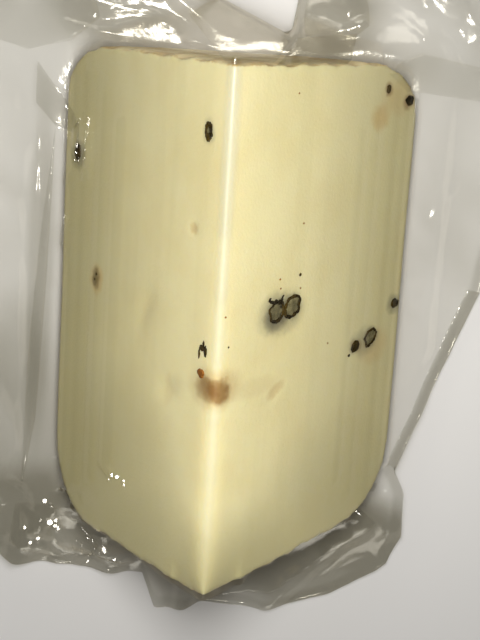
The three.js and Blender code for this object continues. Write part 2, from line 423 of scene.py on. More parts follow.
@dataclass(frozen=True)
class CheeseFinish:
    """Pale waxy paste with soft marks and painted shade, darker straw-coloured rind where the wheel was not
    cut.
    """

    paste: Colour = (0.87, 0.785, 0.44)
    paste_warm: Colour = (0.82, 0.715, 0.365)
    streak: Colour = (0.70, 0.62, 0.31)
    streak_share: float = 0.22
    streak_waves: float = 210.0
    # Darker towards the rind: partly the paste's own drier edge, partly painted shade for the lamps' falloff
    # away from the ridge.
    dry_and_shade: Colour = (0.44, 0.395, 0.20)
    dry_and_shade_share: float = 0.62
    dry_and_shade_from: float = 0.012
    rind: Colour = (0.56, 0.40, 0.17)
    rind_pale: Colour = (0.78, 0.66, 0.36)
    roughness: float = 0.55
    gloss: float = 0.3
    bleed: float = 0.35
    bleed_radius: Colour = (1.0, 0.75, 0.35)
    bleed_scale: float = 0.004
    grain_waves: float = 1500.0
    cloud_waves: float = 55.0
    bump_depth: float = 0.00012
    bump_strength: float = 0.5
    streak_squash: float = 0.04
    mottle_waves: float = 180.0
    sway: float = 0.003
    sway_waves: float = 240.0
    mark_reach: float = 2.0
    mark_core: float = 0.05
    # Painted shade on the ridge: a darker, paler tone on the rounded ridge, whose top faces the lamps and
    # would be lit brighter than the cut faces.
    ridge_band: Colour = (0.47, 0.46, 0.37)
    ridge_shade_share: float = 0.9
    ridge_shade_reach: float = 0.0032

    def stain_and_shade_mask(self, graph: Graph, place: Wire, stain_and_shade: StainAndShade, wedge: Wedge) -> Wire:
        """How strongly one mark shows at each place.

        Args:
            graph: The paste's nodes.
            place: The place, already made uneven.
            stain_and_shade: The stain, or the patch of painted shade.
            wedge: The wedge it lies on.

        Returns:
            A share from 0 to the mark's strength.
        """
        centre = wedge.to_row() @ (wedge.down(stain_and_shade.side) * stain_and_shade.down + Vector((0.0, stain_and_shade.along, 0.0)))
        along = Vector((0.0, 1.0, 0.0))
        axes = Matrix((along, wedge.down(stain_and_shade.side), wedge.out(stain_and_shade.side))).to_4x4()
        out = self.mark_reach * max(stain_and_shade.half_along, stain_and_shade.half_down)
        sizes = Matrix.Diagonal((*(1.0 / (h * MM) for h in (stain_and_shade.half_along, stain_and_shade.half_down, out)), 1.0))
        fit = sizes @ Matrix.Rotation(stain_and_shade.turn, 4, "Z") @ axes
        rows = fit.to_3x3()
        offsets = [graph.vector("DOT_PRODUCT", place, tuple(row), "Value") - row.dot(centre) for row in rows]
        spread = sum(away * away for away in offsets)
        return graph.rise(spread, 1.0, self.mark_core) * stain_and_shade.strength

    def material(self, wedge: Wedge) -> bpy.types.Material:
        """Builds the material.

        Args:
            wedge: The wedge that the marks lie on.

        Returns:
            The finished material.
        """
        graph = Graph("cheese_paste")
        place = graph.place()
        values = {"Vector": place, "Scale": self.sway_waves, "Detail": 6.0, "Roughness": 0.7}
        sway = graph.node("ShaderNodeTexNoise", {}, values, "Color")
        shift = graph.vector("SUBTRACT", sway, (0.5, 0.5, 0.5))
        shift = graph.vector("MULTIPLY", shift, (self.sway, self.sway, self.sway))
        uneven = graph.vector("ADD", place, shift)
        cloud = graph.rise(graph.noise(self.cloud_waves, 4.0, 0.6), 0.32, 0.72)
        colour = graph.mix(cloud, self.paste, self.paste_warm)
        drawn = graph.vector("MULTIPLY", place, (1.0, self.streak_squash, 1.0))
        lines = graph.rise(graph.noise(self.streak_waves, 3.0, 0.6, drawn), 0.45, 0.75)
        colour = graph.mix(lines * self.streak_share, colour, self.streak)
        ridge = wedge.to_row() @ Vector()
        from_ridge = graph.vector("SUBTRACT", place, tuple(ridge))
        across = graph.vector("MULTIPLY", from_ridge, (1.0, 0.0, 1.0))
        depth = graph.vector("LENGTH", across, (0.0, 0.0, 0.0), "Value")
        # Partly drier paste, partly painted shade: darker with distance from the ridge.
        dried_and_shaded = graph.rise(depth, self.dry_and_shade_from, wedge.radius * MM)
        colour = graph.mix(dried_and_shaded * self.dry_and_shade_share, colour, self.dry_and_shade)
        # Painted shade along the ridge.
        colour = graph.mix(graph.rise(depth, self.ridge_shade_reach, 0.0) * self.ridge_shade_share, colour, self.ridge_band)
        # Lays the real stains and the patches of painted shade, one after another.
        for stain_and_shade in STAINS_AND_SHADE:
            colour = graph.mix(self.stain_and_shade_mask(graph, uneven, stain_and_shade, wedge), colour, stain_and_shade.colour)
        mottle = graph.rise(graph.noise(self.mottle_waves, 5.0, 0.65), 0.35, 0.68)
        rind = graph.mix(mottle, self.rind, self.rind_pale)
        colour = graph.mix(graph.rise(graph.attribute("rind"), 0.25, 0.75), colour, rind)
        grain = graph.noise(self.grain_waves, 2.0, 0.5)
        values = {
            "Base Color": colour,
            "Roughness": self.roughness,
            "Subsurface Weight": self.bleed,
            "Subsurface Radius": self.bleed_radius,
            "Subsurface Scale": self.bleed_scale,
            "Specular IOR Level": self.gloss,
            "Normal": graph.bump(grain, self.bump_depth, self.bump_strength),
        }
        return graph.finish(graph.node("ShaderNodeBsdfPrincipled", {}, values))


@dataclass(frozen=True)
class Dent:
    """A shallow dent in a cut face: its place, half sizes, depth and turn."""

    side: Side
    along: float
    down: float
    half: float
    wide: float
    deep: float
    turn: float


@dataclass
class Cheese:
    """The wedge of cheese: two cut faces, a rounded rind and two ends with the mould's rings."""

    wedge: Wedge
    finish: CheeseFinish = CheeseFinish()
    voxel: float = 0.65
    circle_steps: int = 180
    arc_steps: int = 6
    rim_steps: int = 10
    side_steps: int = 30
    settle_passes: int = 3
    worn_from: float = 18.0
    worn_drop: float = 9.0
    worn_levels: int = 6
    worn_passes: int = 16
    ring_waves: float = 0.11
    rough_waves: float = 0.2
    rough_share: float = 0.6
    uneven: float = 0.22
    uneven_waves: float = 0.045
    lift: float = 0.3
    dents: tuple[Dent, ...] = (
        Dent(Side.LEFT, 0.2, 25.4, 7.0, 3.2, 0.32, math.radians(-55.0)),
        Dent(Side.LEFT, -12.0, 15.7, 5.0, 2.8, 0.36, math.radians(-20.0)),
        Dent(Side.LEFT, 17.7, 9.9, 1.8, 1.5, 0.22, 0.0),
        Dent(Side.RIGHT, -11.4, 18.0, 4.0, 1.6, 0.15, math.radians(30.0)),
        Dent(Side.RIGHT, 2.8, 18.8, 6.0, 7.0, 0.25, 0.0),
    )

    def section(self, mesh: bmesh.types.BMesh) -> None:
        """Cuts a disc down to the wedge's section and rounds its three corners.

        Args:
            mesh: An empty mesh, which is left with one face across the ridge.
        """
        wedge = self.wedge
        bmesh.ops.create_circle(mesh, cap_ends=True, radius=wedge.radius, segments=self.circle_steps)
        bmesh.ops.rotate(mesh, verts=mesh.verts, cent=(0, 0, 0), matrix=Matrix.Rotation(math.pi / 2, 3, "X"))
        for side in Side:
            geom = mesh.verts[:] + mesh.edges[:] + mesh.faces[:]
            bmesh.ops.bisect_plane(
                mesh, geom=geom, dist=1e-5, plane_co=(0, 0, 0), plane_no=wedge.out(side), clear_outer=True
            )
        tip = min(mesh.verts, key=lambda v: v.co.length)
        half = (wedge.left_lean + wedge.right_lean) / 2
        ends = [wedge.down(side) * wedge.radius for side in Side]
        corners = [min(mesh.verts, key=lambda v, end=end: (v.co - end).length) for end in ends]
        for verts, offset in (([tip], wedge.ridge_round / math.tan(half)), (corners, wedge.corner_round)):
            bmesh.ops.bevel(
                mesh,
                geom=verts,
                offset=offset,
                offset_type="OFFSET",
                affect="VERTICES",
                segments=self.arc_steps,
                profile=0.5,
                material=-1,
            )

    def loft(self, mesh: bmesh.types.BMesh) -> None:
        """Draws the section out along the ridge, smaller at the rounded rims.

        Args:
            mesh: The mesh with the section's face, which is left as a closed wedge.
        """
        rows = self.wedge.stations(self.rim_steps, self.side_steps)
        mesh.faces.ensure_lookup_table()
        face = mesh.faces[0]
        first_y, first_scale = rows[0]
        for vert in face.verts:
            vert.co = Vector((vert.co.x * first_scale, first_y, vert.co.z * first_scale))
        for (y0, s0), (y1, s1) in zip(rows, rows[1:]):
            made = bmesh.ops.extrude_face_region(mesh, geom=[face])["geom"]
            face = next(g for g in made if isinstance(g, bmesh.types.BMFace))
            for vert in face.verts:
                vert.co = Vector((vert.co.x * s1 / s0, y1, vert.co.z * s1 / s0))
        for vert in mesh.verts:
            vert.co.y = self.wedge.slanted(vert.co.x, vert.co.y)
        bmesh.ops.recalc_face_normals(mesh, faces=mesh.faces)

    def press(self, mesh: bmesh.types.BMesh) -> None:
        """Flattens the rind where the wedge rests, just clear of the film under it.

        Args:
            mesh: The mesh of the wedge.
        """
        low = self.wedge.floor + self.lift
        for vert in mesh.verts:
            vert.co.z = max(vert.co.z, low)

    def dent_depth(self, place: Vector, side: Side) -> float:
        """How far the dents sink a cut face at a place.

        Args:
            place: The place on the face.
            side: The cut face.

        Returns:
            The depth in millimetres.
        """
        run = place.dot(self.wedge.down(side))
        deep = 0.0
        for dent in self.dents:
            if dent.side is side:
                along, down = place.y - dent.along, run - dent.down
                cos, sin = math.cos(dent.turn), math.sin(dent.turn)
                a, b = (down * cos + along * sin) / dent.half, (along * cos - down * sin) / dent.wide
                deep += dent.deep * math.exp(-2.0 * (a * a + b * b))
        return deep

    def rind_share(self, normal: Vector) -> float:
        """How much of a place is rind rather than cut paste, from the way it faces."""
        cut = max(normal.dot(self.wedge.out(side)) for side in Side)
        return max(ease(abs(normal.y), 0.45, 0.8), 1.0 - ease(cut, -0.1, 0.4))

    def ring_depth(self, place: Vector, normal: Vector) -> float:
        """How deep the mould's rings and roughness press into an end.

        Args:
            place: The place on the wedge.
            normal: The way it faces there.

        Returns:
            The depth in millimetres, which fades out away from the ends.
        """
        radius = math.hypot(place.x, place.z)
        ring = (1.0 - math.cos(2.0 * math.pi * radius / self.wedge.rib_pitch)) / 2.0
        ring *= lerp(0.75, 1.25, noise.noise(place * self.ring_waves))
        ring *= ease(radius, 0.0, 2.0 * self.wedge.rib_pitch)
        rough = self.rough_share * noise.noise(place * self.rough_waves)
        return ease(abs(normal.y), 0.3, 0.9) * self.wedge.rib_depth * (ring + rough)

    def settle(
        self, mesh: bmesh.types.BMesh, verts: list[bmesh.types.BMVert], passes: int, along: bool
    ) -> None:
        """Smooths part of the mesh a number of times.

        Args:
            mesh: The mesh.
            verts: The points to smooth.
            passes: How many times.
            along: Whether points may move along the ridge too.
        """
        for _ in range(passes):
            bmesh.ops.smooth_vert(
                mesh, verts=verts, factor=0.5, use_axis_x=True, use_axis_y=along, use_axis_z=True
            )

    def sculpt(self, mesh: bmesh.types.BMesh) -> None:
        """Presses in the mould's rings and the dents, and makes the faces a little uneven.

        Args:
            mesh: The fine even mesh of the wedge.
        """
        wedge = self.wedge
        self.settle(mesh, mesh.verts[:], self.settle_passes, True)
        for level in range(self.worn_levels):
            reach = lerp(self.worn_from, -wedge.height / 2, level / self.worn_levels)
            ridge_band = [v for v in mesh.verts if v.co.z > -self.worn_drop and v.co.y < reach]
            self.settle(mesh, ridge_band, self.worn_passes, False)
        mesh.normal_update()
        rind = mesh.verts.layers.float.new("rind")
        moves: list[tuple[bmesh.types.BMVert, Vector]] = []
        for vert in mesh.verts:
            place, normal = vert.co.copy(), vert.normal.copy()
            vert[rind] = self.rind_share(normal)
            move = Vector((0.0, -math.copysign(self.ring_depth(place, normal), normal.y), 0.0))
            side = Side.LEFT if place.x < 0 else Side.RIGHT
            face = ease(normal.dot(wedge.out(side)), 0.7, 0.95)
            move -= wedge.out(side) * face * self.dent_depth(place, side)
            move += normal * self.uneven * noise.noise(place * self.uneven_waves)
            moves.append((vert, move))
        for vert, move in moves:
            vert.co += move
        self.press(mesh)

    def build(self) -> BVHTree:
        """Makes the piece.

        Returns:
            Its surface in millimetres round the ridge, for what lies on it.
        """
        rough = bmesh.new()
        self.section(rough)
        self.loft(rough)
        data = bpy.data.meshes.new("wedge_block")
        rough.to_mesh(data)
        rough.free()
        block = bpy.data.objects.new("wedge_block", data)
        bpy.context.scene.collection.objects.link(block)
        even = block.modifiers.new("even", "REMESH")
        even.mode = "VOXEL"
        even.voxel_size = self.voxel
        fine = bmesh.new()
        fine.from_object(block, bpy.context.evaluated_depsgraph_get())
        bpy.data.objects.remove(block)
        bpy.data.meshes.remove(data)
        self.sculpt(fine)
        fine.normal_update()
        surface = BVHTree.FromBMesh(fine)
        piece = new_piece("cheese_wedge", fine, self.wedge)
        piece.data.materials.append(self.finish.material(self.wedge))
        seat(piece)
        return surface


@dataclass(frozen=True)
class SkinShard(FaceMark):
    """A curl of pepper skin: an arc with a start and a sweep in degrees, and the skin's thickness."""

    start: float
    sweep: float
    skin: float


@dataclass(frozen=True)
class CutPeppercorn(FaceMark):
    """A peppercorn cut across: the thickness of its skin."""

    skin: float

    def rim(self) -> SkinShard:
        """The whole ring of skin round the cut."""
        place = (self.side, self.along, self.down, self.half_along, self.half_down)
        return SkinShard(*place, 0.0, 360.0, self.skin, turn=self.turn)


@dataclass(frozen=True)
class Crumb(FaceMark):
    """A solid crumb of pepper or seed."""


@dataclass(frozen=True)
class PepperFinish:
    """A dull two-tone finish, mottled from one colour to the other."""

    name: str
    dark: Colour
    light: Colour
    waves: float = 900.0
    roughness: float = 0.75
    gloss: float = 0.06

    def material(self) -> bpy.types.Material:
        """Builds the material.

        Returns:
            The finished material.
        """
        graph = Graph(self.name)
        share = graph.rise(graph.noise(self.waves, 3.0, 0.6), 0.38, 0.66)
        values = {
            "Base Color": graph.mix(share, self.dark, self.light),
            "Roughness": self.roughness,
            "Specular IOR Level": self.gloss,
        }
        return graph.finish(graph.node("ShaderNodeBsdfPrincipled", {}, values))


@dataclass
class Peppercorns:
    """The cut peppercorns, broken skins and crumbs that show in the cut faces."""

    wedge: Wedge
    surface: BVHTree
    proud: float = 0.12
    core_proud: float = 0.072
    sunk: float = 0.7
    reach: float = 6.0
    seed_step: float = 0.7
    ring_steps: int = 40
    tube_sides: int = 8
    ball_detail: int = 3
    uneven: float = 0.25
    skin_finish: PepperFinish = PepperFinish(
        "pepper_skin", (0.012, 0.008, 0.001), (0.055, 0.034, 0.004), 350.0
    )
    core_finish: PepperFinish = PepperFinish("pepper_core", (0.11, 0.095, 0.045), (0.21, 0.18, 0.085))
    seed_finish: PepperFinish = PepperFinish("brown_seed", (0.19, 0.065, 0.008), (0.33, 0.13, 0.02))
    cut: tuple[CutPeppercorn, ...] = (
        CutPeppercorn(Side.RIGHT, 3.1, 17.0, 1.7, 2.2, 0.36, turn=0.1),
        CutPeppercorn(Side.RIGHT, 3.3, 21.7, 1.75, 2.2, 0.34, turn=-0.35),
        CutPeppercorn(Side.RIGHT, -6.6, 49.9, 1.4, 2.0, 0.3, turn=-0.4),
        CutPeppercorn(Side.LEFT, 34.4, 6.5, 1.25, 0.85, 0.4, turn=0.1),
    )
    shards: tuple[SkinShard, ...] = (
        SkinShard(Side.RIGHT, 5.8, 16.6, 1.1, 2.0, 90.0, 180.0, 0.27),
    )
    crumbs: tuple[Crumb, ...] = (
        Crumb(Side.RIGHT, -7.6, 44.5, 1.1, 1.5, turn=-0.3),
        Crumb(Side.RIGHT, -9.1, 42.4, 0.3, 0.4),
        Crumb(Side.RIGHT, -1.1, 58.4, 0.95, 1.5),
        Crumb(Side.LEFT, -3.0, 5.85, 0.9, 0.3),
        Crumb(Side.LEFT, -2.3, 3.95, 0.95, 0.5),
        Crumb(Side.LEFT, -1.9, 5.0, 0.5, 0.95),
        Crumb(Side.LEFT, -1.2, 4.6, 0.62, 0.32),
        Crumb(Side.RIGHT, 41.0, 49.2, 0.8, 0.8),
        Crumb(Side.RIGHT, 38.7, 57.4, 0.95, 1.5),
        Crumb(Side.LEFT, 25.1, 54.4, 1.6, 1.25),
        Crumb(Side.LEFT, 33.5, 6.5, 0.8, 0.85),
        Crumb(Side.LEFT, 3.0, 44.6, 0.26, 0.22),
        Crumb(Side.LEFT, 1.9, 45.2, 0.2, 0.18),
        Crumb(Side.RIGHT, 8.9, 23.4, 0.3, 0.36),
        Crumb(Side.RIGHT, -1.1, 3.1, 0.16, 0.2),
    )
    seeds: tuple[Crumb, ...] = (
        Crumb(Side.LEFT, -6.3, 5.0, 0.8, 1.15),
        Crumb(Side.RIGHT, 8.8, 17.1, 0.18, 0.24),
        Crumb(Side.RIGHT, 6.4, 23.8, 0.16, 0.2),
        Crumb(Side.RIGHT, 7.1, 17.6, 0.16, 0.2),
        Crumb(Side.RIGHT, 4.2, 1.9, 0.16, 0.2),
        Crumb(Side.RIGHT, 18.1, 23.2, 0.16, 0.2),
        Crumb(Side.RIGHT, -5.4, 34.4, 0.16, 0.2),
        Crumb(Side.RIGHT, 40.8, 19.0, 0.16, 0.2),
    )

    def seat_frame(self, mark: FaceMark) -> Matrix:
        """The frame on the cheese's surface at a place on a cut face.

        Args:
            mark: The place.

        Returns:
            A frame with X along the ridge, Y down the face and Z out of the cheese, turned as the mark is.
        """
        out, run = self.wedge.out(mark.side), self.wedge.down(mark.side)
        start = run * mark.down + Vector((0.0, mark.along, 0.0)) + out * self.reach
        place, normal, _, _ = self.surface.ray_cast(start, -out, 3.0 * self.reach)
        if place is None:
            place, normal, _, _ = self.surface.find_nearest(start)
        along_axis = (Vector((0.0, 1.0, 0.0)) - normal * normal.y).normalized()
        down_axis = normal.cross(along_axis)
        axes = Matrix((along_axis, down_axis, normal)).transposed().to_4x4()
        turn = mark.turn if down_axis.dot(run) > 0.0 else -mark.turn
        return Matrix.Translation(place) @ axes @ Matrix.Rotation(turn, 4, "Z")

    def ball(self, mesh: bmesh.types.BMesh, mark: FaceMark, proud: float) -> None:
        """Adds a ball that is cut nearly flush with the surface.

        Args:
            mesh: The mesh it joins.
            mark: Its place and half sizes.
            proud: How far its middle stands out.
        """
        frame = self.seat_frame(mark)
        made = bmesh.ops.create_icosphere(mesh, subdivisions=self.ball_detail, radius=1.0)["verts"]
        seed = frame.translation * self.seed_step
        deep = min(mark.half_along, mark.half_down) * self.sunk
        for vert in made:
            bumps = noise.noise(vert.co * 1.6 + seed) + 1.2 * noise.noise(vert.co * 3.2 - seed)
            grow = 1.0 + self.uneven * bumps
            depth = vert.co.z * (proud if vert.co.z > 0 else deep)
            vert.co = Vector((vert.co.x * mark.half_along * grow, vert.co.y * mark.half_down * grow, depth))
        bmesh.ops.transform(mesh, matrix=frame, verts=made)

    def curl(self, mesh: bmesh.types.BMesh, shard: SkinShard) -> None:
        """Adds a curl of skin by sweeping a small round section along an arc.

        Args:
            mesh: The mesh it joins.
            shard: The curl's place and sizes.
        """
        frame = self.seat_frame(shard)
        full = shard.sweep >= 360.0
        made = bmesh.ops.create_circle(mesh, cap_ends=not full, radius=0.5, segments=self.tube_sides)["verts"]
        upright = Matrix.Translation((1.0, 0.0, 0.0)) @ Matrix.Rotation(math.pi / 2, 4, "X")
        bmesh.ops.transform(mesh, matrix=upright, verts=made)
        geom = list(made) + list({e for v in made for e in v.link_edges})
        geom += list({f for v in made for f in v.link_faces})
        before = set(mesh.verts) - set(made)
        bmesh.ops.spin(
            mesh,
            geom=geom,
            cent=(0, 0, 0),
            axis=(0, 0, 1),
            dvec=(0, 0, 0),
            angle=math.radians(min(shard.sweep, 360.0)),
            steps=self.ring_steps,
            use_merge=full,
            use_normal_flip=False,
            use_duplicate=False,
        )
        tube = [v for v in mesh.verts if v not in before]
        seed = frame.translation * self.seed_step
        for vert in tube:
            turn = math.atan2(vert.co.y, vert.co.x) + math.radians(shard.start)
            away = math.hypot(vert.co.x, vert.co.y) - 1.0
            ring = Vector((math.cos(turn), math.sin(turn), 0.0))
            grow = 1.0 + self.uneven * noise.noise(ring * 1.6 + seed)
            thick = shard.skin * (1.0 + 0.8 * noise.noise(ring * 4.5 - seed))
            spot = Vector((ring.x * shard.half_along * grow, ring.y * shard.half_down * grow, 0.0))
            up = Vector((0.0, 0.0, vert.co.z * thick + self.proud / 2))
            vert.co = spot + ring * away * 2.0 * thick + up
        bmesh.ops.transform(mesh, matrix=frame, verts=tube)

    def build(self) -> None:
        """Makes one piece for each kind."""
        skins, cores, seeds = bmesh.new(), bmesh.new(), bmesh.new()
        for corn in self.cut:
            self.curl(skins, corn.rim())
            self.ball(cores, corn, self.core_proud)
        for shard in self.shards:
            self.curl(skins, shard)
        for group, mesh in ((self.crumbs, skins), (self.seeds, seeds)):
            for crumb in group:
                self.ball(mesh, crumb, self.proud)
        kinds = (
            ("pepper_skins", skins, self.skin_finish),
            ("pepper_cores", cores, self.core_finish),
            ("brown_seeds", seeds, self.seed_finish),
        )
        for name, mesh, finish in kinds:
            bmesh.ops.recalc_face_normals(mesh, faces=mesh.faces)
            piece = new_piece(name, mesh, self.wedge)
            piece.data.materials.append(finish.material())
            seat(piece)


@dataclass(frozen=True)
class Fold:
    """A crest in the film from one place to another, with its height and half width."""

    start: tuple[float, float]
    end: tuple[float, float]
    height: float
    half: float
    start_share: float = 0.5

    def lift(self, x: float, y: float) -> float:
        """How high the crest lifts the film.

        Args:
            x: The place across the ridge.
            y: The place along the ridge.

        Returns:
            The lift in millimetres, which grows from the crest's start to its end.
        """
        run = Vector(self.end) - Vector(self.start)
        here = Vector((x, y)) - Vector(self.start)
        share = min(1.0, max(0.0, here.dot(run) / run.length_squared))
        away = (here - run * share).length
        return self.height * (1.0 - ease(away, 0.0, self.half)) * lerp(self.start_share, 1.0, share)


@dataclass(frozen=True)
class Patch:
    """A soft-edged oval area of the film: its middle, half sizes and strength."""

    x: float
    y: float
    half_x: float
    half_y: float
    amount: float

    def share(self, x: float, y: float) -> float:
        """The area's strength at a place."""
        far = math.hypot((x - self.x) / self.half_x, (y - self.y) / self.half_y)
        return self.amount * (1.0 - ease(far, 0.5, 1.0))


@dataclass(frozen=True)
class Crumple:
    """An area of film crushed into flat facets of about one width."""

    area: Patch
    pitch: float
    puff: float = 0.5
    sway: float = 0.7
    sway_waves: float = 0.45

    def facets(self, x: float, y: float) -> float:
        """The facets' own height: straight across each facet, with sharp creases.

        Args:
            x: The place across the ridge.
            y: The place along the ridge.

        Returns:
            The height, from -1 to 1.
        """
        here = Vector((x, y, 0.0)) / self.pitch
        here += noise.noise_vector(here * self.sway_waves + Vector((0.0, 0.0, self.pitch))) * self.sway
        column, row = math.floor(here.x), math.floor(here.y)
        a, b = here.x - column, here.y - row
        cells = ((0, 0), (1, 0), (0, 1), (1, 1))
        corner = {(i, j): noise.cell(Vector((column + i + 0.5, row + j + 0.5, self.pitch))) for i, j in cells}
        if a + b < 1.0:
            near, along, up = corner[0, 0], corner[1, 0], corner[0, 1]
        else:
            near, along, up, a, b = corner[1, 1], corner[0, 1], corner[1, 0], 1.0 - a, 1.0 - b
        return near + a * (along - near) + b * (up - near)

    def lift(self, x: float, y: float) -> float:
        """How far the facets move the film at a place, up or down."""
        share = self.area.share(x, y)
        return share * (self.facets(x, y) + self.puff) if share > 0.0 else 0.0


@dataclass(frozen=True)
class Wrinkle:
    """Film drawn into flat-sided cells: their size and how steep their sides are."""

    pitch: float
    slope: float
    sway: float = 0.5
    sway_waves: float = 0.5
    least: float = 0.4
    draw_step: float = 31.0

    def lift(self, x: float, y: float) -> float:
        """How far the cells move the film: straight up or down from each crease.

        Args:
            x: The place across the ridge.
            y: The place along the ridge.

        Returns:
            The move in millimetres.
        """
        here = Vector((x, y, 0.0)) / self.pitch
        here += noise.noise_vector(here * self.sway_waves + Vector((0.0, 0.0, self.pitch))) * self.sway
        gaps, points = noise.voronoi(here)
        steep = self.slope * lerp(self.least, 1.0, noise.cell(points[0] * self.draw_step))
        return steep * self.pitch * (gaps[1] - gaps[0]) / 2.0


@dataclass(frozen=True)
class Facet:
    """A small flat facet of crushed film: its middle, its half size and how far round it the film bends."""

    x: float
    y: float
    half: float
    bend: float = 1.7

    def share(self, x: float, y: float) -> float:
        """How far the film is drawn flat at a place, from 0 to 1."""
        return 1.0 - ease(math.hypot(x - self.x, y - self.y), self.half, self.bend * self.half)

    def rise(self, x: float, y: float, facing: tuple[float, float, float]) -> float:
        """How far the facet stands above its own middle at a place, when it faces a place so far above it."""
        return ((self.x - facing[0]) * (x - self.x) + (self.y - facing[1]) * (y - self.y)) / facing[2]


@dataclass(frozen=True)
class Flap:
    """A folded-over layer of film: its convex outline, anticlockwise, its smokiness and its height."""

    corners: tuple[tuple[float, float], ...]
    smoke: float
    lift: float = 0.7


@dataclass(frozen=True)
class FilmFinish:
    """Thin clear film with a sharp gloss, greyer where it is crushed or lies in many layers."""

    clear: Colour = (0.97, 0.968, 0.955)
    smoky: Colour = (0.748, 0.74, 0.70)
    haze: Colour = (0.75, 0.73, 0.66)
    haze_share: float = 0.003
    gloss: Colour = (1.0, 0.95, 0.84)
    gloss_roughness: float = 0.15
    stuck_gloss: float = 0.004
    loose_gloss: float = 0.045
    slant_gloss: float = 0.5
    slant_power: float = 5.0
    grain_waves: float = 1400.0
    grain_depth: float = 0.000028

    def material(self) -> bpy.types.Material:
        """Builds the material.

        Returns:
            The finished material.
        """
        graph = Graph("clear_film")
        thin = graph.node("ShaderNodeBsdfTransparent", {}, {"Color": (*self.clear, 1.0)})
        thick = graph.node("ShaderNodeBsdfTransparent", {}, {"Color": (*self.smoky, 1.0)})
        body = graph.node("ShaderNodeMixShader", {}, {0: graph.attribute("smoke"), 1: thin, 2: thick})
        milky = graph.node("ShaderNodeBsdfDiffuse", {}, {"Color": (*self.haze, 1.0)})
        body = graph.node("ShaderNodeMixShader", {}, {0: self.haze_share, 1: body, 2: milky})
        values = {
            "Color": (*self.gloss, 1.0),
            "Roughness": self.gloss_roughness,
            "Normal": graph.bump(graph.noise(self.grain_waves, 2.0, 0.5), self.grain_depth, 1.0),
        }
        gloss = graph.node("ShaderNodeBsdfGlossy", {}, values)
        slant = graph.node("ShaderNodeLayerWeight", {}, {"Blend": 0.5}, "Facing")
        straight = self.stuck_gloss + graph.attribute("loose") * (self.loose_gloss - self.stuck_gloss)
        mirror = straight + slant**self.slant_power * self.slant_gloss
        return graph.finish(graph.node("ShaderNodeMixShader", {}, {0: mirror, 1: body, 2: gloss}))


